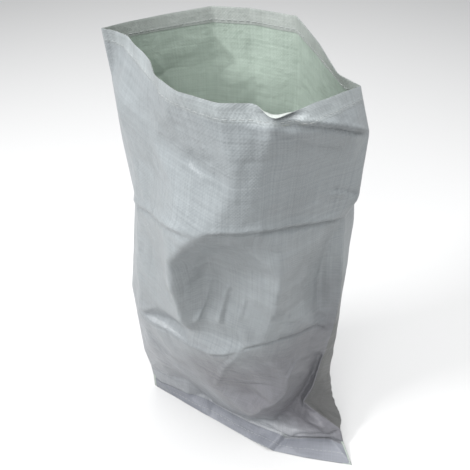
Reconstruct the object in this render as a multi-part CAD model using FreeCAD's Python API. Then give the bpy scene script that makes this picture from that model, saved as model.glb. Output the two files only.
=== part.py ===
import FreeCAD
import Part
import os

# Woven polypropylene sack, 600 mm wide and 1100 mm long when it lies flat, standing open and empty.
# Frame: millimetres. The origin is on the floor, midway between the two ends of the bottom seam.
# +X runs along the bottom seam to the right, -Y faces the front panel, +Z is up.
# The cloth is one circular-woven tube. Its mouth edge is turned in and sewn, and its bottom edge is
# folded and sewn shut into a lip, which lies on the floor in front of the standing sack.

WALL = 1.5               # stand-in thickness of one layer of cloth
RIM_HEM_DEPTH = 25.0     # depth of the turned-in mouth hem
LIP_BOTTOM = 1.0         # the sewn lip rides this far above the floor, on its looper thread
LIP_THICK = 3.0          # four layers of cloth, folded and sewn
STITCH_PITCH = 11.0      # from one stitch to the next
STITCH_LENGTH = 7.5
STITCH_WIDTH = 1.3
STITCH_HEIGHT = 0.8
HEM_STITCH_DEPTH = 0.8   # the mouth's stitch line, as a share of the hem's depth below the rim
LIP_STITCH_SHARE = 0.72  # the bottom stitch line, as a share of the way from lip edge to wall foot

# Each outline goes round the tube from the left side crease, along the front panel to the right side
# crease, and back along the rear panel. Every outline has the same points, one above the other.
# A point is (x, y) in an outline of one height, or (x, y, z).
FOOT = [(-285, -45), (-200, -25), (-115, -48), (-10, -57), (90, -57), (170, -30),
        (255, -15), (200, 20), (110, 30), (0, 30), (-110, 25), (-210, 5)]
SHIN = [(-292, -68), (-225, -110), (-130, -135), (-25, -142), (60, -122), (115, -75),
        (148, -10), (140, 40), (60, 75), (-30, 85), (-120, 80), (-222, 30)]
WAIST = [(-300, -60), (-240, -120), (-150, -165), (-40, -180), (50, -152), (120, -90),
         (163, -10), (140, 50), (70, 95), (-30, 115), (-130, 105), (-240, 40)]
CHEST = [(-242, -62, 745), (-192, -120, 770), (-120, -175, 800), (-40, -198, 820), (50, -165, 815), (115, -95, 805),
         (148, -25, 800), (135, 45, 780), (65, 110, 770), (-30, 140, 760), (-130, 125, 755), (-215, 45, 745)]
RIM = [(-259, -49, 1045), (-175, -86, 1047), (-105, -158, 1052), (-10, -190, 1055), (68, -188, 1055), (110, -108, 1044),
       (132, -41, 1032), (66, 32, 1030), (8, 106, 1029), (-76, 153, 1026), (-169, 128, 1028), (-225, 46, 1034)]
SHIN_HEIGHT = 200.0
WAIST_HEIGHT = 430.0

# The lip's front edge, which is the folded bottom end of the cloth, from left to right.
LIP_EDGE = [(-290, -60), (-105, -86), (77, -109), (180, -88), (290, -60)]
FRONT_CORNERS = 7        # the front panel's points in an outline, both side creases included


def points(outline, height=None):
    """Vectors for an outline, at one height unless its points carry their own."""
    if height is None:
        return [FreeCAD.Vector(*p) for p in outline]
    return [FreeCAD.Vector(p[0], p[1], height) for p in outline]


def inset(row, distance, height=None):
    """The same outline moved inwards by distance, seen from above, with mitred corners."""
    count = len(row)
    moved = []
    for i, point in enumerate(row):
        before = point - row[i - 1]
        after = row[(i + 1) % count] - point
        before.z = 0
        after.z = 0
        before.normalize()
        after.normalize()
        # inwards is to the left of the way round, because the outline runs anticlockwise from above
        normal = FreeCAD.Vector(-before.y - after.y, before.x + after.x, 0)
        normal.normalize()
        cosine = normal.dot(FreeCAD.Vector(-after.y, after.x, 0))
        shifted = point + normal * (distance / cosine)
        if height is not None:
            shifted.z = height
        moved.append(shifted)
    return moved


def band(lower, upper):
    """Ruled facets between two closed rows of points."""
    faces = []
    count = len(lower)
    for i in range(count):
        j = (i + 1) % count
        low_edge = Part.makeLine(lower[i], lower[j])
        high_edge = Part.makeLine(upper[i], upper[j])
        faces.append(Part.makeRuledSurface(low_edge, high_edge))
    return faces


def flat(row):
    """A flat face with the row as its boundary."""
    return Part.Face(Part.makePolygon(row + row[:1]))


def closed_solid(faces):
    """One outward-facing solid from faces that meet along their edges."""
    shell = Part.makeShell(faces)
    shell.sewShape()
    solid = Part.makeSolid(shell)
    if solid.Volume < 0:
        solid.reverse()
    return solid


def lowered(row, distance):
    """The row moved straight down."""
    return [p - FreeCAD.Vector(0, 0, distance) for p in row]


def tube_rows():
    """Outer rows of the tube, from the floor to the rim."""
    rim = points(RIM)
    lip_top = LIP_BOTTOM + LIP_THICK
    return [points(FOOT, 0.0), points(FOOT, lip_top), points(SHIN, SHIN_HEIGHT),
            points(WAIST, WAIST_HEIGHT), points(CHEST), lowered(rim, RIM_HEM_DEPTH), rim]


def woven_tube(outer, inner):
    """The tube as a thin-walled vessel with an open mouth."""
    faces = [flat(outer[0]), flat(inner[0])]
    for rows in (outer, inner):
        for lower, upper in zip(rows[:-1], rows[1:]):
            faces += band(lower, upper)
    faces += band(outer[-1], inner[-1])
    return closed_solid(faces)


def mouth_hem(inner):
    """The turned-in edge: a ring lying against the inside of the tube, just below the rim."""
    low, high = inner[-2], inner[-1]
    low_in, high_in = inset(low, WALL), inset(high, WALL)
    faces = band(low, high) + band(low_in, high_in) + band(low, low_in) + band(high, high_in)
    return closed_solid(faces)


def wall_foot():
    """The line where the front panel leaves the floor, left to right."""
    return FOOT[:FRONT_CORNERS]


def bottom_hem():
    """The folded and sewn lip, a flat plate in front of the wall's foot."""
    outline = LIP_EDGE + wall_foot()[::-1]
    plate = flat(points(outline, LIP_BOTTOM))
    return plate.extrude(FreeCAD.Vector(0, 0, LIP_THICK))


def stitch(centre, along, outward):
    """One stitch lying on a surface: a small bar along the seam that stands out along outward."""
    across = outward.cross(along)
    bar = Part.makeBox(STITCH_LENGTH, STITCH_WIDTH, STITCH_HEIGHT,
                       FreeCAD.Vector(-STITCH_LENGTH / 2, -STITCH_WIDTH / 2, 0))
    turn = FreeCAD.Rotation(along, across, outward, "XYZ")
    bar.Placement = FreeCAD.Placement(centre, turn)
    return bar


def stitches_between(start, end, outward_at):
    """Evenly spaced stitches on one straight run of a seam."""
    run = end - start
    count = int(run.Length // STITCH_PITCH)
    along = FreeCAD.Vector(run)
    along.normalize()
    bars = []
    for k in range(count):
        share = (k + 0.5) / count
        outward = outward_at(share)
        outward = outward - along * outward.dot(along)
        outward.normalize()
        bars.append(stitch(start + run * share, along, outward))
    return bars


def mouth_stitches(high, low, side):
    """Stitches all round the mouth on the wall between two rows; side is 1 outside and -1 inside."""
    bars = []
    count = len(high)
    for i in range(count):
        j = (i + 1) % count
        start = high[i] + (low[i] - high[i]) * HEM_STITCH_DEPTH
        end = high[j] + (low[j] - high[j]) * HEM_STITCH_DEPTH
        run = end - start

        def outward_at(share, i=i, j=j, run=run):
            down = (low[i] - high[i]) * (1 - share) + (low[j] - high[j]) * share
            return down.cross(run) * side

        bars += stitches_between(start, end, outward_at)
    return Part.makeCompound(bars)


def along_line(line, share):
    """The point at a share of the length of a line of points."""
    lengths = [(b - a).Length for a, b in zip(line[:-1], line[1:])]
    left = share * sum(lengths)
    for a, b, length in zip(line[:-1], line[1:], lengths):
        if left <= length:
            return a + (b - a) * (left / length)
        left -= length
    return line[-1]


def lip_stitch_line(height):
    """The bottom stitch line, between the lip's edge and the wall's foot."""
    edge = points(LIP_EDGE, height)
    foot = points(wall_foot(), height)
    line = []
    for k in range(FRONT_CORNERS):
        share = k / (FRONT_CORNERS - 1)
        front = along_line(edge, share)
        line.append(front + (along_line(foot, share) - front) * LIP_STITCH_SHARE)
    return line


def lip_stitches(height, side):
    """Stitches along the lip; side is 1 on its top and -1 underneath."""
    line = lip_stitch_line(height)
    bars = []
    for start, end in zip(line[:-1], line[1:]):
        bars += stitches_between(start, end, lambda share: FreeCAD.Vector(0, 0, side))
    return Part.makeCompound(bars)


def main():
    os.makedirs("parts", exist_ok=True)
    outer = tube_rows()
    inner = [inset(outer[0], WALL, WALL)] + [inset(row, WALL) for row in outer[1:]]
    hem_low, hem_high = inset(inner[-2], WALL), inset(inner[-1], WALL)
    nodes = {
        "woven_tube": woven_tube(outer, inner),
        "mouth_hem": mouth_hem(inner),
        "bottom_hem": bottom_hem(),
        "mouth_needle_thread": mouth_stitches(outer[-1], outer[-2], 1),
        "mouth_looper_thread": mouth_stitches(hem_high, hem_low, -1),
        "bottom_needle_thread": lip_stitches(LIP_BOTTOM + LIP_THICK, 1),
        "bottom_looper_thread": lip_stitches(LIP_BOTTOM, -1),
    }
    for name, shape in nodes.items():
        shape.exportStep(f"parts/{name}.step")
        box = shape.BoundBox
        print(f"{name}: valid {shape.isValid()}, solids {len(shape.Solids)}, volume {shape.Volume:.0f} mm3, "
              f"z {box.ZMin:.1f} to {box.ZMax:.1f}")


main()
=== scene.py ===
import math

import bpy
import numpy as np
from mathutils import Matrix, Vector
from mathutils.geometry import delaunay_2d_cdt


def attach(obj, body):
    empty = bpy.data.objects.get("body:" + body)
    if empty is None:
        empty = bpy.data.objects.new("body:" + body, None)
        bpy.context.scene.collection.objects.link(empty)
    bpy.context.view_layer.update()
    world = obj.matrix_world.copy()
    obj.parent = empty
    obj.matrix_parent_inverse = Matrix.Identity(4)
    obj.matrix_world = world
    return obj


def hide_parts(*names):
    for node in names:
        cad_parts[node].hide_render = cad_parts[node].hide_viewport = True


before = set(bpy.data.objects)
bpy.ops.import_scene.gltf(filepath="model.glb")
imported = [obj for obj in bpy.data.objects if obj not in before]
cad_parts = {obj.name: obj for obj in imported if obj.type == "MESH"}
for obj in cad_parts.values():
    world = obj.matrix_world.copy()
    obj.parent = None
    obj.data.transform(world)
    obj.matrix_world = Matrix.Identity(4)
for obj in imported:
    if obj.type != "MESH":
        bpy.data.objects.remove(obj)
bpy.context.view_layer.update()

# A woven polypropylene sack, standing open and empty. Lengths in the tables below are millimetres in the
# CAD frame; everything handed to Blender is in metres.
#
# The cloth is described in its own flat coordinates. "across" runs round the tube from the left side
# crease: 0 to 600 over the front panel to the right side crease, and 600 to 1200 back along the rear
# panel. "up" runs from the folded bottom edge, 0, to the rim, 1100.
MM = 0.001
WIDTH = 600.0
LENGTH = 1100.0
LIP = 50.0               # the sewn lip at the bottom, where the two panels lie flat together
CLOTH_STEP = 8.0         # spacing of the cloth's grid while it settles
COARSE_ROWS = 139        # rows of that grid, from the bottom edge to the rim
FINE_STEP = 4.0          # spacing of the finished piece
CLOTH_THICKNESS = 0.5
LAYER_GAP = 1.6          # between the lip's two layers, middle to middle
LAYER_EASE = 24.0        # they part to it over this distance from the side creases
LOWEST = 0.9             # the cloth's middle never comes nearer to the floor than this
LOWEST_UNDER = 0.8       # nor does the lip's lower layer, before it settles
TAPE_WIDTH = 2.7         # of the flat tapes that the cloth is woven from

MOUTH_HEM_DEPTH = 25.0   # the rim is turned inwards by this much
MOUTH_HEM_GAP = 0.78     # from the middle of the cloth to the middle of the turned part
MOUTH_HEM_ROWS = 7
BOTTOM_HEM = (1.0, 45.0)  # the lip's edge is turned up between these heights on the cloth
BOTTOM_HEM_GAP = 0.9
BOTTOM_HEM_ROWS = 12
BOTTOM_HEM_INSET = 8.0   # its ends stop short of the side creases
MOUTH_SEAM = 1080.0      # heights of the two stitch lines on the cloth
BOTTOM_SEAM = 20.0
STITCH_PITCH = 11.0
STITCH_LENGTH = 8.0
STITCH_SIDES = 6

# The front panel's folds. Each line is a ridge, hollow or edge; a point is (across, up, x, y, z), a place
# on the cloth and where it stands. A point that another line gives is named by (across, up) only.
LEFT_CREASE = [
    (0, 0, -290, -60, 2), (0, 50, -292, -54, 46), (0, 104, -294, -54, 98), (0, 193, -297, -63, 183),
    (0, 330, -298, -60, 315), (0, 468, -297, -57, 445), (0, 606, -270, -60, 580), (0, 775, -238, -66, 742),
    (0, 891, -255, -51, 850), (0, 1004, -270, -30, 955), (0, 1100, -259, -49, 1045)]
RIGHT_CREASE = [
    (600, 0, 290, -60, 1), (600, 55, 254, -20, 22), (600, 108, 238, -8, 60), (600, 185, 168, -9, 104),
    (600, 240, 132, -15, 140), (600, 312, 147, -12, 215), (600, 440, 154, -13, 350), (600, 545, 163, -8, 460),
    (600, 640, 163, -7, 560), (600, 750, 152, -14, 680), (600, 862, 143, -25, 790), (600, 906, 158, -23, 833),
    (600, 1018, 153, -18, 950), (600, 1100, 132, -41, 1031)]
FRONT_FOLDS = [
    LEFT_CREASE, RIGHT_CREASE,
    # rim
    [(0, 1100), (28, 1100, -236, -46, 1043), (55, 1100, -209, -56, 1044), (85, 1100, -186, -78, 1046),
     (115, 1100, -160, -96, 1047), (148, 1100, -136, -119, 1049), (195, 1100, -107, -158, 1053),
     (245, 1100, -62, -187, 1056), (300, 1100, -4, -194, 1057), (345, 1100, 36, -174, 1055),
     (372, 1100, 56, -186, 1049), (395, 1100, 66, -184, 1047), (430, 1100, 80, -158, 1046),
     (465, 1100, 94, -127, 1044), (500, 1100, 106, -104, 1041), (535, 1100, 117, -82, 1039),
     (570, 1100, 126, -60, 1035), (600, 1100)],
    # the short stretch of hem that flops outwards
    [(345, 1084, 38, -178, 1040), (372, 1086, 50, -173, 1050), (395, 1086, 60, -173, 1048),
     (430, 1086, 77, -152, 1044)],
    # folded edge below the mouth's right corner
    [(352, 1068, 44, -184, 1024), (395, 1070, 64, -184, 1040), (446, 1064, 90, -161, 1034),
     (510, 1046, 120, -111, 1007), (560, 1030, 140, -67, 980), (600, 1018)],
    # upper storage fold, left and right of the ridge
    [(0, 775), (50, 779, -203, -108, 764), (108, 792, -166, -137, 784), (174, 826, -114, -180, 813),
     (218, 852, -78, -204, 831), (262, 868, -36, -216, 844)],
    # where the lit panel above it turns upright
    [(50, 860, -212, -94, 856), (116, 872, -152, -122, 865), (124, 950, -138, -132, 935),
     (200, 950, -82, -158, 940), (262, 962, -28, -178, 944), (310, 965, 14, -196, 938)],
    [(262, 868), (318, 874, 1, -207, 860), (354, 872, 24, -194, 858), (392, 868, 48, -177, 856),
     (434, 860, 70, -149, 845), (478, 854, 92, -117, 832), (542, 842, 127, -59, 805), (600, 862)],
    # the long ridge between the lit and the shaded side
    [(300, 1100), (306, 1076, 1, -197, 1036), (310, 1030, 8, -198, 996), (318, 1000, 18, -197, 968),
     (310, 965), (300, 930, 6, -201, 906), (285, 893, -14, -209, 869), (262, 868),
     (240, 826, -66, -210, 800), (222, 770, -98, -202, 748), (219, 700, -104, -194, 680),
     (220, 640, -108, -182, 615), (222, 560, -108, -166, 535), (222, 500, -106, -134, 470)],
    # lower storage fold: its inner line, and the ledge's outer edge
    [(78, 450, -233, -98, 424), (125, 462, -186, -104, 434), (166, 474, -151, -108, 444), (222, 500),
     (268, 508, -62, -128, 486), (318, 502, 0, -122, 480)],
    [(0, 468), (60, 446, -250, -103, 424), (74, 432, -238, -108, 412), (122, 436, -184, -122, 419),
     (196, 440, -119, -132, 410), (240, 446, -67, -139, 414), (275, 462, -30, -140, 434),
     (308, 482, 3, -133, 456)],
    # top edge of the low box-shaped bulge
    [(308, 482), (345, 500, 18, -128, 474), (384, 510, 44, -119, 490), (426, 514, 71, -98, 494),
     (478, 514, 103, -66, 491), (540, 522, 129, -36, 498), (600, 545)],
    # the bulge's left and right edges
    [(308, 482), (262, 382, -42, -126, 361), (230, 236, -80, -102, 210), (240, 110, -62, -70, 70)],
    [(600, 500, 159, -10, 412), (520, 448, 121, -36, 394), (470, 424, 105, -54, 374), (440, 360, 95, -78, 332),
     (430, 292, 93, -82, 262), (396, 238, 77, -100, 236), (352, 196, 49, -110, 210), (312, 128, 24, -100, 138),
     (262, 100, -28, -72, 68)],
    # the bulge's foot
    [(240, 110), (262, 100), (300, 88, 14, -60, 44), (350, 84, 50, -44, 34)],
    # shaded side that falls back from the bulge's right edge
    [(600, 470, 158, -9, 380), (576, 420, 146, -4, 345), (566, 360, 140, 1, 280), (552, 295, 130, 6, 208),
     (532, 232, 117, 4, 133), (470, 150, 94, -16, 74), (400, 88, 66, -40, 28)],
    # hollow under the loose corner's flap
    [(600, 240), (560, 184, 133, -12, 104), (510, 120, 135, -20, 58), (470, 90, 137, -32, 36), (455, 66),
     (455, 50, 140, -44, 2.4)],
    [(600, 108), (560, 112, 194, -34, 82), (510, 120)],
    [(600, 185), (560, 112)],
    # lip: where it leaves the wall, and its standing left end
    [(0, 104), (66, 90, -232, -60, 90), (125, 34, -176, -66, 30), (192, 0, -103, -86, 2)],
    [(0, 50), (30, 54, -264, -62, 50), (66, 90), (106, 105, -188, -50, 92), (160, 60, -140, -40, 30),
     (200, 50, -104, -46, 12), (250, 50, -52, -52, 10), (310, 50, 5, -57, 10), (385, 50, 82, -58, 14),
     (405, 50, 98, -60, 17), (420, 50, 110, -58, 2.4), (455, 50), (490, 50, 168, -29, 2.4),
     (540, 50, 214, -13, 5), (600, 55)],
    [(405, 50), (424, 64, 114, -60, 14), (455, 66, 141, -54, 20), (490, 66, 171, -44, 24),
     (545, 70, 218, -30, 38), (600, 108)],
    [(0, 0), (60, 0, -230, -68, 1.5), (125, 0, -168, -77, 1.5), (192, 0), (250, 0, -45, -93, 2),
     (320, 0, 18, -101, 3), (385, 0, 78, -109, 13), (398, 0, 91, -106, 3), (446, 0, 136, -97, 2),
     (480, 0, 172, -90, 2), (540, 0, 228, -76, 2), (600, 0)],
    # the lip's folded end, which lies on the loose corner
    [(385, 0), (405, 50)],
    [(398, 0), (420, 50)],
    [(420, 50), (436, 24, 122, -80, 9), (446, 0)],
    # beside the left crease
    [(55, 1100), (54, 950, -222, -92, 945), (50, 860), (50, 779), (55, 600, -234, -106, 585), (60, 446),
     (60, 300, -250, -96, 290), (62, 200, -244, -82, 190), (66, 90)],
    # soft hollow left of the middle
    [(115, 1100), (125, 1034, -140, -127, 1006), (124, 950), (116, 872),
     (108, 792), (118, 700, -176, -126, 690), (122, 620, -178, -126, 605), (126, 520, -184, -122, 500),
     (125, 462), (122, 436), (118, 300, -184, -108, 290), (112, 200, -182, -84, 190), (106, 105)],
    # the lit side of the ridge
    [(195, 1100), (200, 1030, -92, -168, 1006), (200, 950), (212, 900, -82, -180, 884),
     (218, 852)],
    [(174, 826), (172, 740, -134, -156, 730), (170, 640, -146, -150, 625), (170, 540, -146, -142, 520),
     (166, 474), (196, 440), (180, 320, -138, -112, 308), (180, 210, -132, -84, 190),
     (184, 110, -122, -58, 84), (200, 50)],
    # hollow on the shaded side of the ridge
    [(318, 874), (300, 825, -12, -184, 810), (272, 750, -50, -148, 735), (262, 680, -64, -136, 668),
     (258, 600, -70, -134, 590), (262, 545, -66, -136, 535), (268, 508)],
    # middle of the front panel
    [(345, 1084), (352, 1068), (352, 980, 46, -182, 962), (354, 872), (345, 800, 26, -164, 796),
     (335, 720, 16, -136, 712), (330, 640, 4, -130, 635), (325, 560, -2, -131, 558), (318, 502)],
    [(430, 1100), (430, 1086), (428, 1067, 80, -160, 1030), (425, 985, 72, -158, 960), (434, 860),
     (432, 800, 78, -146, 792), (430, 726, 80, -144, 729), (425, 640, 72, -138, 646), (420, 570, 63, -122, 570),
     (426, 514), (400, 420, 60, -92, 396), (385, 330, 62, -84, 304), (396, 238)],
    [(345, 500), (335, 400, 18, -106, 366), (325, 310, 14, -90, 268), (322, 236, 12, -78, 198),
     (312, 128)],
    [(262, 382), (335, 400), (400, 420), (470, 424)],
    [(230, 236), (322, 236), (396, 238)],
    # edge of the shaded hollow at the right, and the hollow itself
    [(542, 842), (522, 785, 114, -78, 762), (514, 725, 106, -76, 703), (500, 650, 98, -75, 638),
     (468, 585, 86, -90, 588), (426, 514)],
    [(542, 842), (552, 770, 124, -36, 728), (552, 700, 119, -20, 652), (552, 620, 118, -14, 574),
     (552, 560, 126, -20, 520), (540, 522)],
    [(510, 1046), (516, 950, 122, -76, 925), (542, 842)],
    [(560, 1030), (562, 950, 144, -44, 912), (600, 906)],
]

# The rear panel's guides run up the cloth, in the same terms. They start where the panel leaves the lip.
REAR_GUIDES = [
    [(652, 130, 243, 8, 78), (650, 240, 202, 19, 166), (650, 335, 178, 18, 262), (650, 420, 175, 12, 345),
     (650, 520, 172, 8, 450), (652, 640, 164, 14, 560), (655, 800, 156, 20, 745), (650, 1000, 128, 12, 950),
     (645, 1100, 96, -19, 1030)],
    [(740, 95, 150, 2, 1), (740, 130, 150, 22, 22), (740, 220, 150, 44, 120), (740, 350, 146, 58, 262),
     (745, 500, 138, 68, 420), (745, 700, 118, 78, 630), (740, 900, 88, 78, 840), (734, 1100, 47, 60, 1030)],
    [(845, 105, 50, 2, 1), (845, 140, 52, 24, 20), (845, 240, 54, 62, 120), (848, 400, 48, 88, 290),
     (850, 600, 40, 108, 500), (850, 800, 24, 124, 710), (842, 950, 6, 136, 870), (840, 1100, -16, 143, 1031)],
    [(930, 105, -35, 0, 1), (930, 140, -36, 22, 20), (930, 240, -42, 62, 120), (930, 400, -50, 92, 285),
     (930, 600, -56, 114, 500), (930, 800, -64, 132, 710), (928, 950, -80, 144, 870),
     (928, 1100, -103, 155, 1026)],
    [(1010, 100, -112, 2, 2), (1010, 140, -116, 20, 26), (1010, 240, -128, 48, 130), (1010, 400, -142, 68, 300),
     (1010, 600, -148, 84, 505), (1005, 800, -146, 102, 715), (996, 950, -152, 118, 875),
     (991, 1100, -163, 134, 1028)],
    [(1100, 100, -204, -12, 52), (1100, 180, -216, 2, 140), (1100, 300, -240, 12, 262),
     (1100, 450, -248, 18, 415), (1100, 600, -232, 22, 572), (1095, 750, -208, 34, 718),
     (1090, 900, -214, 50, 860), (1075, 1100, -214, 67, 1031)],
    [(1152, 100, -250, -32, 76), (1152, 200, -268, -28, 178), (1152, 450, -282, -18, 430),
     (1155, 600, -258, -18, 575), (1155, 760, -228, -16, 733), (1155, 950, -248, 0, 912),
     (1152, 1100, -243, -4, 1040)],
]


def fold_net(folds):
    """Points and lines of a set of folds: flat places, where they stand, and the edges between them."""
    stands = {}
    for line in folds:
        for knot in line:
            if len(knot) == 5:
                stands.setdefault(tuple(knot[:2]), knot[2:])
    order = list(stands)
    edges = []
    for line in folds:
        indices = [order.index(tuple(knot[:2])) for knot in line]
        edges += list(zip(indices[:-1], indices[1:]))
    return np.array(order, float), np.array([stands[p] for p in order], float), edges


def facets(folds):
    """Triangles between the folds: flat corners (n, 3, 2) and standing corners (n, 3, 3)."""
    flat, stand, edges = fold_net(folds)
    out = delaunay_2d_cdt([Vector(p) for p in flat], edges, [], 1, 0.001, True)
    places, triangles, origins = out[0], out[2], out[3]
    places = np.array([tuple(p) for p in places])
    standing = np.zeros((len(places), 3))
    for k, origin in enumerate(origins):
        if origin:
            standing[k] = stand[origin[0]]
            continue
        # two folds crossed here: the first of them says where the crossing stands
        for a, b in edges:
            run = flat[b] - flat[a]
            share = np.dot(places[k] - flat[a], run) / np.dot(run, run)
            if 0 <= share <= 1 and np.linalg.norm(flat[a] + run * share - places[k]) < 0.01:
                standing[k] = stand[a] + (stand[b] - stand[a]) * share
                break
    corners = np.array([list(t) for t in triangles])
    return places[corners], standing[corners]


def on_facets(flat, standing, across, ups):
    """The folded panel at every (up, across) of a grid: x, y, z, and that across and up again.

    The last two are marks. They stay with the cloth when its points are spaced evenly, so that a crease
    drawn across the folds is found again."""
    grid_across, grid_up = np.meshgrid(across, ups)
    points = np.zeros(grid_across.shape + (5,))
    points[..., 3], points[..., 4] = grid_across, grid_up
    best = np.full(grid_across.shape, -1e9)
    for corner, stand in zip(flat, standing):
        (x0, y0), (x1, y1), (x2, y2) = corner
        area = (x1 - x0) * (y2 - y0) - (x2 - x0) * (y1 - y0)
        if abs(area) < 1e-6:
            continue
        b = ((grid_across - x0) * (y2 - y0) - (x2 - x0) * (grid_up - y0)) / area
        c = ((x1 - x0) * (grid_up - y0) - (grid_across - x0) * (y1 - y0)) / area
        a = 1 - b - c
        inside = np.minimum(np.minimum(a, b), c)
        take = inside > best
        best[take] = inside[take]
        points[take, :3] = a[take, None] * stand[0] + b[take, None] * stand[1] + c[take, None] * stand[2]
    return points


def outward(points, closed):
    """Unit normals of a grid of points, out of the sack."""
    points = points[..., :3]
    if closed:
        across_run = np.roll(points, -1, axis=1) - np.roll(points, 1, axis=1)
    else:
        across_run = np.gradient(points, axis=1)
    normal = np.cross(across_run, np.gradient(points, axis=0))
    return normal / np.maximum(np.linalg.norm(normal, axis=2, keepdims=True), 1e-9)


def guide_at(guide, up):
    """Where a guide stands at a height up the cloth: (across, x, y, z)."""
    knots = np.array(guide, float)
    return [np.interp(up, knots[:, 1], knots[:, k]) for k in (0, 2, 3, 4)]


def rear_points(front, across, ups):
    """The rear panel between the two side creases. Up to the lip's top it lies under the front panel."""
    steps = len(across)
    points = np.zeros((len(ups), steps, 5))
    points[..., 3], points[..., 4] = np.meshgrid(across, ups)
    apart = np.minimum(1, np.minimum(across - WIDTH, 2 * WIDTH - across) / LAYER_EASE)[:, None]
    under = (front[..., :3] - outward(front, closed=False) * LAYER_GAP * apart[::-1])[:, ::-1]
    under[..., 2] = np.maximum(under[..., 2], LOWEST_UNDER)
    lip_row = int(np.searchsorted(ups, LIP))
    for i, up in enumerate(ups):
        if i <= lip_row:
            points[i, :, :3] = under[i]
            continue
        row = [[WIDTH, *front[i, -1, :3]]]
        for guide in REAR_GUIDES:
            start = guide[0]
            if up < start[1]:
                column = int(np.argmin(np.abs(across - start[0])))
                place = under[lip_row, column]
                share = (up - ups[lip_row]) / (start[1] - ups[lip_row])
                row.append([start[0], *(place + (np.array(start[2:]) - place) * share)])
            else:
                row.append(guide_at(guide, up))
        row.append([2 * WIDTH, *front[i, 0, :3]])
        row = np.array(row)
        for k in range(3):
            points[i, :, k] = np.interp(across, row[:, 0], row[:, k + 1])
    return points


def evened(points, axis, start=0):
    """The same lines of points along an axis, spaced evenly by length from a start row."""
    points = np.moveaxis(points, axis, 0).copy()
    for j in range(points.shape[1]):
        line = points[start:, j]
        lengths = np.concatenate([[0], np.cumsum(np.linalg.norm(np.diff(line[:, :3], axis=0), axis=1))])
        even = np.linspace(0, lengths[-1], len(line))
        points[start:, j] = np.stack([np.interp(even, lengths, line[:, k]) for k in range(5)], axis=1)
    return np.moveaxis(points, 0, axis)


def tube_points(columns, ups):
    """The whole tube's points and marks in millimetres, rows going up and columns going round."""
    across = np.arange(columns) * 2 * WIDTH / columns
    half = columns // 2
    front_across = np.linspace(0, WIDTH, half + 1)
    rear_across = np.linspace(WIDTH, 2 * WIDTH, half + 1)
    front = on_facets(*facets(FRONT_FOLDS), front_across, ups)
    rear = rear_points(front, rear_across, ups)
    lip_row = int(np.searchsorted(ups, LIP))
    for _ in range(3):
        front, rear = evened(front, 0, lip_row), evened(rear, 0, lip_row)
        front[lip_row + 1:] = evened(front, 1)[lip_row + 1:]
        rear[lip_row + 1:] = evened(rear, 1)[lip_row + 1:]
    return across, np.concatenate([front[:, :-1], rear[:, :-1]], axis=1)


def placed(name, mesh):
    """A smooth-shaded object for a mesh, in the scene."""
    mesh.polygons.foreach_set("use_smooth", [True] * len(mesh.polygons))
    piece = bpy.data.objects.new(name, mesh)
    bpy.context.scene.collection.objects.link(piece)
    return piece


def cloth_piece(name, points, across, ups, closed):
    """A piece of cloth over a grid of points, with the flat cloth's own metres as its UV.

    The points are in millimetres. A closed piece's last column joins its first."""
    rows, columns = points.shape[:2]
    strips = columns if closed else columns - 1
    edges = list(across) + ([2 * WIDTH] if closed else [])
    faces, corners = [], []
    for i in range(rows - 1):
        for j in range(strips):
            k = (j + 1) % columns
            faces.append((i * columns + j, i * columns + k, (i + 1) * columns + k, (i + 1) * columns + j))
            square = ((j, i), (j + 1, i), (j + 1, i + 1), (j, i + 1))
            corners += [(edges[a] * MM, ups[b] * MM) for a, b in square]
    mesh = bpy.data.meshes.new(name)
    mesh.from_pydata((points.reshape(-1, 3) * MM).tolist(), [], faces)
    layer = mesh.uv_layers.new(name="cloth")
    layer.data.foreach_set("uv", np.array(corners).ravel())
    return placed(name, mesh)


def prism_points(across, ups):
    """The cloth's unstretched tube: four flat panels meeting at the side creases and the panels' middles."""
    lean = 0.5
    x = np.where(across <= WIDTH, across, 2 * WIDTH - across) * math.cos(lean)
    fold = np.minimum(across % WIDTH, WIDTH - across % WIDTH) * math.sin(lean)
    y = np.where(across <= WIDTH, -fold, fold)
    points = np.zeros((len(ups), len(across), 3))
    points[..., 0] = x
    points[..., 1] = y
    points[..., 2] = ups[:, None]
    return points


SETTLE_FRAMES = 24
SETTLING = {
    "quality": 6, "mass": 0.01, "tension_stiffness": 30, "compression_stiffness": 30, "shear_stiffness": 8,
    "bending_stiffness": 0.6, "tension_damping": 8, "compression_damping": 8, "shear_damping": 8,
    "bending_damping": 0.5, "air_damping": 4, "vertex_group_mass": "hold", "pin_stiffness": 1.0}
SETTLING_GRAVITY = 0.15


def hold_weight(place, up):
    """How firmly a place on the cloth is kept near its given shape while the cloth settles."""
    beside_crease = min(place % WIDTH, WIDTH - place % WIDTH)
    if up <= LIP + 1:
        return 1.0
    if up > LENGTH - 12:
        return 0.8
    if beside_crease < 6:
        return 0.7
    if place < WIDTH:
        return 0.7 if up > 560 else 0.9
    return 0.3


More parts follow.
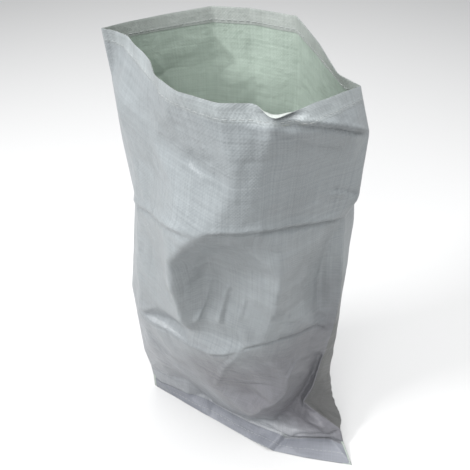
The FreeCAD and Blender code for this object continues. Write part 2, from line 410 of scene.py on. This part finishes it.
def settled(points, across, ups):
    """The grid after the cloth has relaxed near the given shape, towards its flat lengths."""
    piece = cloth_piece("settling", points[..., :3], across, ups, closed=True)
    piece.shape_key_add(name="Basis")
    flat = piece.shape_key_add(name="flat")
    flat.data.foreach_set("co", (prism_points(across, ups) * MM).ravel())
    rows, columns = points.shape[:2]
    hold = piece.vertex_groups.new(name="hold")
    for i in range(rows):
        for j in range(columns):
            hold.add([i * columns + j], hold_weight(across[j], ups[i]), "REPLACE")
    modifier = piece.modifiers.new("cloth", "CLOTH")
    for name, value in SETTLING.items():
        setattr(modifier.settings, name, value)
    modifier.settings.rest_shape_key = flat
    modifier.settings.effector_weights.gravity = SETTLING_GRAVITY
    modifier.collision_settings.use_collision = False
    modifier.collision_settings.use_self_collision = False
    modifier.point_cache.frame_start = 1
    modifier.point_cache.frame_end = SETTLE_FRAMES
    scene = bpy.context.scene
    for number in range(1, SETTLE_FRAMES + 1):
        scene.frame_set(number)
    shaped = piece.evaluated_get(bpy.context.evaluated_depsgraph_get())
    out = np.zeros(rows * columns * 3)
    shaped.data.vertices.foreach_get("co", out)
    scene.frame_set(1)
    bpy.data.objects.remove(piece, do_unlink=True)
    return np.concatenate([out.reshape(rows, columns, 3) / MM, points[..., 3:]], axis=2)


def finer(points):
    """The grid at half its spacing, curved through the points it has; it closes round the tube."""
    before, after, beyond = np.roll(points, 1, 1), np.roll(points, -1, 1), np.roll(points, -2, 1)
    # the marks go up to the tube's whole width and start again from 0
    after[:, -1, 3] += 2 * WIDTH
    beyond[:, -2:, 3] += 2 * WIDTH
    before[:, 0, 3] -= 2 * WIDTH
    rows, columns = points.shape[:2]
    wide = np.zeros((rows, columns * 2, 5))
    wide[:, 0::2] = points
    wide[:, 1::2] = (9 * (points + after) - before - beyond) / 16
    padded = np.concatenate([2 * wide[:1] - wide[1:2], wide, 2 * wide[-1:] - wide[-2:-1]])
    tall = np.zeros((rows * 2 - 1, columns * 2, 5))
    tall[0::2] = wide
    tall[1::2] = (9 * (padded[1:-2] + padded[2:-1]) - padded[:-3] - padded[3:]) / 16
    return tall


def beside_line(grid_across, grid_up, line):
    """How far each place is from a line on the cloth, positive on its left, and how far along the line it is.

    The second is a share of the line's length."""
    line = np.array(line, float)
    best = np.full(grid_across.shape, 1e9)
    side = np.ones(grid_across.shape)
    passed = np.zeros(grid_across.shape)
    lengths = np.linalg.norm(np.diff(line, axis=0), axis=1)
    done = 0.0
    for a, b, length in zip(line[:-1], line[1:], lengths):
        run = (b - a) / length
        dx, dy = grid_across - a[0], grid_up - a[1]
        along = np.clip(dx * run[0] + dy * run[1], 0, length)
        away = np.hypot(dx - along * run[0], dy - along * run[1])
        take = away < best
        best[take] = away[take]
        side[take] = np.sign(run[0] * dy - run[1] * dx + 1e-9)[take]
        passed[take] = ((done + along) / lengths.sum())[take]
        done += length
    return best * side, passed


# Sharp creases pressed into the cloth. Each has its line on the cloth, the height of the ridge on the
# line's left side, the depth of the groove on its right, and the ridge's width.
SHARP_CREASES = [
    ([(0, 775), (50, 779), (108, 792), (174, 826), (218, 852), (262, 868)], 3.6, 4.4, 7),
    ([(270, 872), (318, 874), (354, 872), (392, 868), (434, 860), (478, 854), (542, 842), (596, 862)],
     3.8, 4.6, 7),
    ([(395, 1070), (446, 1064), (510, 1046), (560, 1030), (600, 1018)], 3.0, 5.0, 6),
    ([(306, 1074), (352, 1066), (395, 1056), (440, 1040), (500, 1006), (552, 978)], 1.0, 1.6, 5),
    ([(600, 908), (572, 902), (545, 898), (520, 902)], 2.2, 3.0, 6),
    ([(308, 482), (345, 500), (384, 510), (426, 514), (478, 514), (540, 522), (596, 545)], 1.6, 4.6, 5),
    ([(60, 446), (74, 432), (122, 436), (196, 440), (240, 446), (275, 462), (308, 482)], 4.2, 3.0, 6),
    ([(430, 560), (480, 548), (540, 556), (590, 580)], 1.0, 1.8, 5),
    ([(278, 684), (266, 610), (248, 545)], -2.2, -4.6, 7),
    ([(308, 668), (302, 618), (290, 538)], -2.2, -4.8, 7),
    ([(345, 640), (338, 590), (330, 560)], -0.8, -1.8, 6),
    ([(262, 382), (300, 372), (350, 360), (420, 350)], 0.8, 1.4, 6),
    ([(230, 300), (290, 312), (350, 320), (410, 318)], 2.0, 2.8, 6),
    ([(70, 300), (110, 246), (170, 200), (226, 172)], 2.0, 2.8, 6),
    ([(60, 236), (110, 196), (170, 160), (236, 140)], 1.6, 2.4, 6),
    ([(14, 420), (50, 380), (84, 330), (106, 280)], 1.8, 2.4, 6),
    ([(14, 470), (46, 440), (66, 410)], 1.0, 1.4, 6),
    ([(262, 60), (330, 64), (395, 62)], 1.6, 1.6, 5),
    ([(4, 100), (34, 97), (66, 90), (96, 66), (112, 52)], 3.0, 4.0, 6),
    ([(430, 60), (455, 74), (490, 78), (545, 82), (594, 108)], 2.0, 4.2, 6),
    ([(420, 96), (448, 122), (492, 150), (534, 214)], -1.2, -3.4, 7),
    ([(600, 112), (600, 185), (600, 240), (600, 312), (600, 440), (600, 490)], 2.2, 3.6, 6),
    ([(455, 66), (470, 90), (510, 120), (560, 184), (596, 236)], 1.0, 3.0, 6),
    ([(512, 122), (556, 113), (596, 109)], 2.0, 1.0, 6),
    ([(304, 478), (262, 382), (232, 240)], 3.0, 1.4, 8),
    ([(512, 446), (470, 424), (440, 360), (430, 292), (396, 238), (352, 196), (314, 128)], 2.4, 2.0, 6),
]


WRINKLES = 34            # fine ones, in one patch
CRUMPLES = 150
WAVES = 40


def tapered(passed, share):
    """1 along the middle of a line, falling to 0 at its ends over a share of its length."""
    return np.clip(np.minimum(passed, 1 - passed) / share, 0, 1)


def creased(marks_across, marks_up):
    """How far the sharp creases lift the cloth at each place."""
    rise = np.zeros(marks_across.shape)
    for line, ridge, groove, width in SHARP_CREASES:
        away, passed = beside_line(marks_across, marks_up, line)
        rise += tapered(passed, 1 / 8) * (ridge * np.exp(-((away - width * 0.6) / width) ** 2)
                                          - groove * np.exp(-((away + width * 0.6) / (width * 0.7)) ** 2))
    return rise


def wrinkled(rng, marks_across, marks_up):
    """A patch of fine wrinkles, left of the long ridge and under the mouth."""
    rise = np.zeros(marks_across.shape)
    for _ in range(WRINKLES):
        centre = np.array([rng.uniform(150, 285), rng.uniform(925, 1040)])
        angle = rng.choice([0.5, -0.7]) + rng.normal(0, 0.25)
        arm = rng.uniform(9, 22) * np.array([math.cos(angle), math.sin(angle)])
        away, passed = beside_line(marks_across, marks_up, [centre - arm, centre + arm])
        rise += tapered(passed, 1 / 4) * rng.uniform(-2.0, 2.0) * np.exp(-np.abs(away) / 4)
    return rise


def crumpled(rng, grid_across, grid_up):
    """Short bent crumples all over the cloth."""
    rise = np.zeros(grid_across.shape)
    for _ in range(CRUMPLES):
        centre = np.array([rng.uniform(0, 2 * WIDTH), rng.uniform(LIP, LENGTH)])
        angle = rng.choice([0.0, math.pi / 2]) + rng.normal(0, 0.5)
        reach = rng.uniform(25, 90)
        arm = reach * np.array([math.cos(angle), math.sin(angle)])
        bend = np.array([-arm[1], arm[0]]) * rng.uniform(-0.25, 0.25)
        height = rng.uniform(0.5, 1.7) * rng.choice([-1, 1])
        width = rng.uniform(5, 9)
        away, passed = beside_line(grid_across, grid_up, [centre - arm, centre + bend, centre + arm])
        rise += tapered(passed, 1 / 5) * height * np.exp(-np.abs(away) / width)
    return rise


def waved(rng, grid_across, grid_up):
    """Gentle unevenness. Each wave fits the tube a whole number of times, so that it closes."""
    rise = np.zeros(grid_across.shape)
    for _ in range(WAVES):
        length = rng.uniform(45, 190)
        angle = rng.uniform(0, math.pi)
        phase = rng.uniform(0, 2 * math.pi)
        count = max(1, round(abs(math.cos(angle)) * 2 * WIDTH / length))
        wave = 2 * math.pi * (grid_across * count / (2 * WIDTH) + grid_up * math.sin(angle) / length) + phase
        rise += 0.0016 * length * np.sin(wave)
    return rise


def pressed(points, across, ups):
    """The cloth with its sharp creases, small crumples and gentle unevenness."""
    marks_across, marks_up = points[..., 3], points[..., 4]
    grid_across, grid_up = np.meshgrid(across, ups)
    rng = np.random.default_rng(11)
    loose = wrinkled(rng, marks_across, marks_up)
    loose += crumpled(rng, grid_across, grid_up)
    loose += waved(rng, grid_across, grid_up)
    # nothing loose in the lip, and less of it beside the rim and the side creases
    free = np.clip((grid_up - LIP - 6) / 40, 0, 1) * np.clip((LENGTH + 14 - grid_up) / 40, 0, 1)
    beside_crease = np.minimum(grid_across % WIDTH, WIDTH - grid_across % WIDTH)
    free = free * np.clip(beside_crease / 50, 0.15, 1)
    rise = creased(marks_across, marks_up) * np.clip((grid_up - LIP) / 12, 0, 1) + loose * free
    return points[..., :3] + outward(points, closed=True) * rise[..., None]


def on_cloth(points, normals, across, up):
    """A place on the finished cloth and its outward direction, for a distance across and up."""
    rows, columns = points.shape[:2]
    j, i = (across / FINE_STEP) % columns, up / LENGTH * (rows - 1)
    j0, i0 = int(j), min(int(i), rows - 2)
    j1 = (j0 + 1) % columns
    dj, di = j - j0, i - i0
    weights = ((1 - di) * (1 - dj), (1 - di) * dj, di * (1 - dj), di * dj)
    corners = ((i0, j0), (i0, j1), (i0 + 1, j0), (i0 + 1, j1))
    place = sum(w * points[c] for w, c in zip(weights, corners))
    normal = sum(w * normals[c] for w, c in zip(weights, corners))
    return place, normal / np.linalg.norm(normal)


def seam(name, points, normals, start, stop, up, lift, thread):
    """A line of stitches across the cloth. Each is a short rounded length of thread lying on it."""
    # a stitch is a tube through these shares of its length, with these shares of its thickness
    shares = (0.0, 0.12, 0.5, 0.88, 1.0)
    sizes = (0.25, 0.9, 1.0, 0.9, 0.25)
    verts, faces = [], []
    place = start
    while place + STITCH_LENGTH <= stop:
        base = len(verts)
        centres = [on_cloth(points, normals, place + STITCH_LENGTH * s, up) for s in shares]
        along = centres[-1][0] - centres[0][0]
        along = along / np.linalg.norm(along)
        for (centre, normal), size in zip(centres, sizes):
            beside = np.cross(normal, along)
            beside = beside / np.linalg.norm(beside)
            upward = np.cross(along, beside)
            middle = centre + normal * (lift + (size - 1) * thread * 0.3)
            for k in range(STITCH_SIDES):
                turn = 2 * math.pi * k / STITCH_SIDES
                spoke = beside * math.cos(turn) + upward * math.sin(turn)
                verts.append((middle + size * thread / 2 * spoke) * MM)
        for ring in range(len(shares) - 1):
            for k in range(STITCH_SIDES):
                a = base + ring * STITCH_SIDES + k
                b = base + ring * STITCH_SIDES + (k + 1) % STITCH_SIDES
                faces.append((a, b, b + STITCH_SIDES, a + STITCH_SIDES))
        last = base + (len(shares) - 1) * STITCH_SIDES
        faces.append(tuple(base + k for k in reversed(range(STITCH_SIDES))))
        faces.append(tuple(last + k for k in range(STITCH_SIDES)))
        place += STITCH_PITCH
    mesh = bpy.data.meshes.new(name)
    mesh.from_pydata([tuple(v) for v in verts], [], faces)
    return placed(name, mesh)


class Nodes:
    """Short ways to add and join shader nodes in one material."""

    def __init__(self, name):
        self.material = bpy.data.materials.new(name)
        self.material.use_nodes = True
        self.tree = self.material.node_tree
        self.shader = self.tree.nodes["Principled BSDF"]
        self.output = self.tree.nodes["Material Output"]

    def add(self, kind, **values):
        node = self.tree.nodes.new(kind)
        for key, value in values.items():
            setattr(node, key, value)
        return node

    def join(self, source, target):
        self.tree.links.new(source, target)

    def math(self, operation, *inputs):
        node = self.add("ShaderNodeMath", operation=operation)
        for socket, value in zip(node.inputs, inputs):
            if isinstance(value, (int, float)):
                socket.default_value = value
            else:
                self.join(value, socket)
        return node.outputs[0]

    def noise(self, vector, scale, detail, roughness):
        node = self.add("ShaderNodeTexNoise")
        node.inputs["Scale"].default_value = scale
        node.inputs["Detail"].default_value = detail
        node.inputs["Roughness"].default_value = roughness
        self.join(vector, node.inputs["Vector"])
        return node.outputs["Fac"]

    def stretched(self, vector, x, y):
        node = self.add("ShaderNodeMapping")
        node.inputs["Scale"].default_value = (x, y, 1)
        self.join(vector, node.inputs["Vector"])
        return node.outputs["Vector"]

    def share(self, value, start, stop):
        """0 where the value is at its start and 1 where it is at its stop, kept between them."""
        node = self.add("ShaderNodeMapRange")
        node.inputs["From Min"].default_value = start
        node.inputs["From Max"].default_value = stop
        self.join(value, node.inputs["Value"])
        return node.outputs["Result"]

    def ramp(self, value, start, dark, stop, light):
        node = self.add("ShaderNodeValToRGB")
        for element, position, colour in zip(node.color_ramp.elements, (start, stop), (dark, light)):
            element.position = position
            element.color = (*colour, 1)
        self.join(value, node.inputs["Fac"])
        return node.outputs["Color"]

    def tinted(self, colour, tint, amount):
        """The colour multiplied by a tint, by an amount from 0 to 1."""
        node = self.add("ShaderNodeMixRGB", blend_type="MULTIPLY")
        node.inputs["Color2"].default_value = (*tint, 1)
        self.join(colour, node.inputs["Color1"])
        self.join(amount, node.inputs["Fac"])
        return node.outputs["Color"]

    def bump(self, height, strength, distance):
        node = self.add("ShaderNodeBump")
        node.inputs["Strength"].default_value = strength
        node.inputs["Distance"].default_value = distance
        self.join(height, node.inputs["Height"])
        self.join(node.outputs["Normal"], self.shader.inputs["Normal"])
        return node.outputs["Normal"]


SIDE_CREASE = WIDTH * MM
HEM_LINE = 1.0755        # just above the turned-in edge, in metres up the cloth


def painted_shade_outside(n, colour, u, v, patches):
    """Painted shade low on the outside's right-hand side, and its paler band where the mouth is double."""
    # the painted shade ends sooner round the side crease, on the rear panel
    in_front = n.math("SUBTRACT", SIDE_CREASE, u)
    behind = n.math("MULTIPLY", n.math("SUBTRACT", u, SIDE_CREASE), 2.6)
    from_corner = n.math("MAXIMUM", in_front, behind)
    from_middle = n.math("ABSOLUTE", n.math("SUBTRACT", v, 0.32))
    reach = n.math("ADD", n.math("DIVIDE", from_corner, 0.42), n.math("DIVIDE", from_middle, 0.36))
    reach = n.math("ADD", reach, n.math("MULTIPLY", n.math("SUBTRACT", patches, 0.5), 0.8))
    painted_shade = n.share(reach, 1.25, 0.70)
    colour = n.tinted(colour, (0.62, 0.59, 0.61), painted_shade)
    # and the painted shade is darker still on the rear panel, with an olive tint
    on_rear = n.math("GREATER_THAN", u, SIDE_CREASE)
    colour = n.tinted(colour, (0.66, 0.67, 0.60), n.math("MULTIPLY", on_rear, painted_shade))
    return n.tinted(colour, (1.12, 1.12, 1.10), n.math("GREATER_THAN", v, 1.075))


def woven_material(name, light, dark, roughness, through, outside=False):
    """Woven flat tapes: streaks both ways, an over-and-under bump, scuffs, and a little light through them."""
    n = Nodes(name)
    uv = n.add("ShaderNodeUVMap", uv_map="cloth").outputs["UV"]
    split = n.add("ShaderNodeSeparateXYZ")
    n.join(uv, split.inputs[0])
    u, v = split.outputs[0], split.outputs[1]
    upright = n.noise(n.stretched(uv, 330, 5), 1.0, 2.0, 0.5)
    level = n.noise(n.stretched(uv, 5, 330), 1.0, 2.0, 0.5)
    patches = n.noise(uv, 9.0, 5.0, 0.6)
    scuffs = n.noise(uv, 60.0, 6.0, 0.7)
    unevenness = n.noise(uv, 26.0, 3.0, 0.5)
    streaks = n.math("ADD", n.math("MULTIPLY", upright, 0.5), n.math("MULTIPLY", level, 0.5))
    tone = n.math("ADD", n.math("MULTIPLY", streaks, 0.6),
                  n.math("ADD", n.math("MULTIPLY", patches, 0.28), n.math("MULTIPLY", scuffs, 0.12)))
    colour = n.ramp(tone, 0.36, dark, 0.64, light)
    # a little cooler near the mouth and warmer near the floor
    tint = n.add("ShaderNodeMixRGB")
    tint.inputs["Color1"].default_value = (0.985, 1.0, 1.0, 1)
    tint.inputs["Color2"].default_value = (1.015, 0.99, 1.01, 1)
    n.join(n.share(n.math("ADD", v, n.math("MULTIPLY", patches, 0.1)), 0.62, 0.30), tint.inputs["Fac"])
    both = n.add("ShaderNodeMixRGB", blend_type="MULTIPLY")
    both.inputs["Fac"].default_value = 1.0
    n.join(colour, both.inputs["Color1"])
    n.join(tint.outputs["Color"], both.inputs["Color2"])
    colour = both.outputs["Color"]
    # the outside gets painted shade low on its right-hand side
    if outside:
        colour = painted_shade_outside(n, colour, u, v, patches)
    n.join(colour, n.shader.inputs["Base Color"])

    # over and under: the upright tapes stand up where the level ones dip
    wave_u = n.math("SINE", n.math("MULTIPLY", u, math.pi / (TAPE_WIDTH * MM)))
    wave_v = n.math("SINE", n.math("MULTIPLY", v, math.pi / (TAPE_WIDTH * MM)))
    weave = n.math("MULTIPLY", wave_u, wave_v)
    height = n.math("ADD", n.math("MULTIPLY", weave, 0.00015),
                    n.math("ADD", n.math("MULTIPLY", streaks, 0.00060), n.math("MULTIPLY", scuffs, 0.0010)))
    height = n.math("ADD", height, n.math("MULTIPLY", unevenness, 0.0052))
    if outside:
        # the double layer above the mouth's stitch line stands proud, and its lower edge shows through
        past_edge = n.math("MULTIPLY", n.math("SUBTRACT", v, HEM_LINE), 0.30)
        step = n.math("MAXIMUM", n.math("SMOOTH_MIN", past_edge, 0.0006, 0.0002), 0.0)
        height = n.math("ADD", height, step)
    normal = n.bump(height, 0.75, 1.0)
    gloss = n.math("ADD", roughness - 0.10, n.math("MULTIPLY", tone, 0.20))
    n.join(gloss, n.shader.inputs["Roughness"])
    n.shader.inputs["Specular IOR Level"].default_value = 0.45
    n.shader.inputs["Sheen Weight"].default_value = 0.05
    n.shader.inputs["Sheen Roughness"].default_value = 0.4

    glow = n.add("ShaderNodeBsdfTranslucent")
    n.join(colour, glow.inputs["Color"])
    n.join(normal, glow.inputs["Normal"])
    mix = n.add("ShaderNodeMixShader")
    mix.inputs["Fac"].default_value = through
    n.join(n.shader.outputs[0], mix.inputs[1])
    n.join(glow.outputs[0], mix.inputs[2])
    n.join(mix.outputs[0], n.output.inputs["Surface"])
    return n.material


def thread_material():
    """Twisted sewing thread."""
    n = Nodes("sewing_thread_look")
    place = n.add("ShaderNodeTexCoord").outputs["Object"]
    fleck = n.noise(place, 900.0, 3.0, 0.6)
    colour = n.ramp(fleck, 0.3, (0.25, 0.265, 0.265), 0.7, (0.37, 0.385, 0.38))
    n.join(colour, n.shader.inputs["Base Color"])
    twist = n.add("ShaderNodeTexWave", wave_type="BANDS", bands_direction="DIAGONAL")
    twist.inputs["Scale"].default_value = 700.0
    n.join(place, twist.inputs["Vector"])
    n.bump(twist.outputs["Fac"], 0.4, 0.0002)
    n.join(n.math("ADD", 0.5, n.math("MULTIPLY", fleck, 0.2)), n.shader.inputs["Roughness"])
    n.shader.inputs["Sheen Weight"].default_value = 0.2
    return n.material


def turned_strip(name, points, normals, across, ups, gap):
    """A folded-over strip of cloth, a gap away from the finished cloth along its outward direction."""
    strip = np.zeros((len(ups), len(across), 3))
    for i, up in enumerate(ups):
        for j, place in enumerate(across):
            point, normal = on_cloth(points, normals, place, up)
            strip[i, j] = point + normal * gap
    return cloth_piece(name, strip, across, ups, closed=False)


def layered(piece, outside, inside, offset):
    """Gives a piece of cloth its thickness, with a material for each face.

    The thickness goes inwards from the surface for an offset of -1, and both ways for 0."""
    piece.data.materials.append(outside)
    piece.data.materials.append(inside)
    shell = piece.modifiers.new("thickness", "SOLIDIFY")
    shell.thickness = CLOTH_THICKNESS * MM
    shell.offset = offset
    shell.material_offset = 1
    # keeps the thin edge of the cloth from shading its faces
    piece.modifiers.new("face_normals", "WEIGHTED_NORMAL")


# The cloth settles on a coarse grid, and is then refined and creased.
coarse_ups = np.linspace(0, LENGTH, COARSE_ROWS)
across, shape = tube_points(int(round(2 * WIDTH / CLOTH_STEP)), coarse_ups)
shape = settled(shape, across, coarse_ups)
shape = finer(shape)
across = np.arange(shape.shape[1]) * FINE_STEP
ups = np.linspace(0, LENGTH, shape.shape[0])
shape = pressed(shape, across, ups)
shape[..., 2] = np.maximum(shape[..., 2], LOWEST)
facing = outward(shape, closed=True)

# the outside's material carries painted shade low on its right-hand side
outer_look = woven_material("woven_outside", light=(0.315, 0.336, 0.350), dark=(0.212, 0.228, 0.237),
                            roughness=0.38, through=0.12, outside=True)
# the inside is the cloth's grey with a greenish tint painted in for the light that comes through the walls
inner_look = woven_material("woven_inside", light=(0.405, 0.468, 0.415), dark=(0.308, 0.362, 0.316),
                            roughness=0.50, through=0.12)
hem_look = woven_material("woven_hem", light=(0.425, 0.447, 0.428), dark=(0.338, 0.356, 0.341),
                          roughness=0.50, through=0.15)
lip_look = woven_material("woven_lip", light=(0.222, 0.238, 0.262), dark=(0.164, 0.177, 0.197),
                          roughness=0.42, through=0.10)
thread_look = thread_material()

tube = cloth_piece("sack_cloth", shape, across, ups, closed=True)
layered(tube, outer_look, inner_look, -1)

# mouth hem: the rim turned inwards, lying against the inside of the cloth
mouth_hem = turned_strip("turned_mouth_hem", shape, facing, np.concatenate([across, [2 * WIDTH]]),
                         np.linspace(LENGTH - MOUTH_HEM_DEPTH, LENGTH, MOUTH_HEM_ROWS), -MOUTH_HEM_GAP)
layered(mouth_hem, hem_look, hem_look, 0)

# bottom hem: the lip's edge turned up over its front
bottom_hem = turned_strip("turned_bottom_hem", shape, facing,
                          np.arange(BOTTOM_HEM_INSET, WIDTH - BOTTOM_HEM_INSET + 1, FINE_STEP),
                          np.linspace(*BOTTOM_HEM, BOTTOM_HEM_ROWS), BOTTOM_HEM_GAP)
layered(bottom_hem, lip_look, lip_look, 0)

# seams: from, to, height on the cloth, how far out the thread's middle lies, and its thickness
mouth_needle = seam("mouth_needle_stitches", shape, facing, 3, 1199, MOUTH_SEAM, 0.2, 0.7)
mouth_looper = seam("mouth_looper_stitches", shape, facing, 3, 1199, MOUTH_SEAM, -1.6, 0.9)
bottom_needle = seam("bottom_needle_stitches", shape, facing, 12, 588, BOTTOM_SEAM, 1.5, 0.9)
bottom_looper = seam("bottom_looper_stitches", shape, facing, 612, 1188, BOTTOM_SEAM, 0.35, 0.9)
for stitches in (mouth_needle, mouth_looper, bottom_needle, bottom_looper):
    stitches.data.materials.append(thread_look)
for piece in (tube, mouth_hem, bottom_hem, mouth_needle, mouth_looper, bottom_needle, bottom_looper):
    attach(piece, "root")
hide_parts("woven_tube")
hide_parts("mouth_hem")
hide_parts("bottom_hem")
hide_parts("mouth_needle_thread")
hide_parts("mouth_looper_thread")
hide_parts("bottom_needle_thread")
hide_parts("bottom_looper_thread")


# Camera: about 1.4 m above the floor, in front and to the right, looking down 45 degrees.
CAMERA_PLACE = (224 * MM, -675 * MM, 1369 * MM)
CAMERA_AZIMUTH = 23.1    # degrees
CAMERA_PITCH = 44.62     # degrees below level
CAMERA_LENS = 39.86      # millimetres, as is the sensor's width
SENSOR_WIDTH = 36
camera_data = bpy.data.cameras.new("camera")
camera_data.lens = CAMERA_LENS
camera_data.sensor_width = SENSOR_WIDTH
camera = bpy.data.objects.new("camera", camera_data)
camera.location = CAMERA_PLACE
camera.rotation_euler = (math.radians(90 - CAMERA_PITCH), 0, math.radians(CAMERA_AZIMUTH))
bpy.context.scene.collection.objects.link(camera)
bpy.context.scene.camera = camera


def area_light(name, place, target, size, power):
    """A square soft light; metres and watts."""
    data = bpy.data.lights.new(name, "AREA")
    data.shape = "SQUARE"
    data.size = size
    data.energy = power
    light = bpy.data.objects.new(name, data)
    light.location = place
    light.rotation_euler = (Vector(target) - Vector(place)).to_track_quat("-Z", "Y").to_euler()
    bpy.context.scene.collection.objects.link(light)


area_light("key", (-1.8, -1.65, 2.75), (0, 0, 0.5), 0.7, 92)
area_light("front", (0.1, -2.1, 2.5), (0, 0, 0.6), 1.4, 24)
area_light("top", (0.3, 0.0, 3.8), (0.1, 0.0, 0), 4.0, 238)
world = bpy.data.worlds.new("studio")
world.use_nodes = True
background = world.node_tree.nodes["Background"]
background.inputs["Color"].default_value = (0.96, 0.98, 1, 1)
background.inputs["Strength"].default_value = 0.36
bpy.context.scene.world = world
bpy.context.scene.view_settings.view_transform = "Standard"

FLOOR_REACH = 6          # metres each way from the middle
floor_mesh = bpy.data.meshes.new("floor")
floor_corners = [(x * FLOOR_REACH, y * FLOOR_REACH, 0) for x, y in ((-1, -1), (1, -1), (1, 1), (-1, 1))]
floor_mesh.from_pydata(floor_corners, [], [(0, 1, 2, 3)])
floor = bpy.data.objects.new("floor", floor_mesh)
floor_look = bpy.data.materials.new("floor_look")
floor_look.use_nodes = True
floor_shader = floor_look.node_tree.nodes["Principled BSDF"]
floor_shader.inputs["Base Color"].default_value = (0.54, 0.54, 0.54, 1)
floor_shader.inputs["Roughness"].default_value = 0.8
floor.data.materials.append(floor_look)
bpy.context.scene.collection.objects.link(floor)
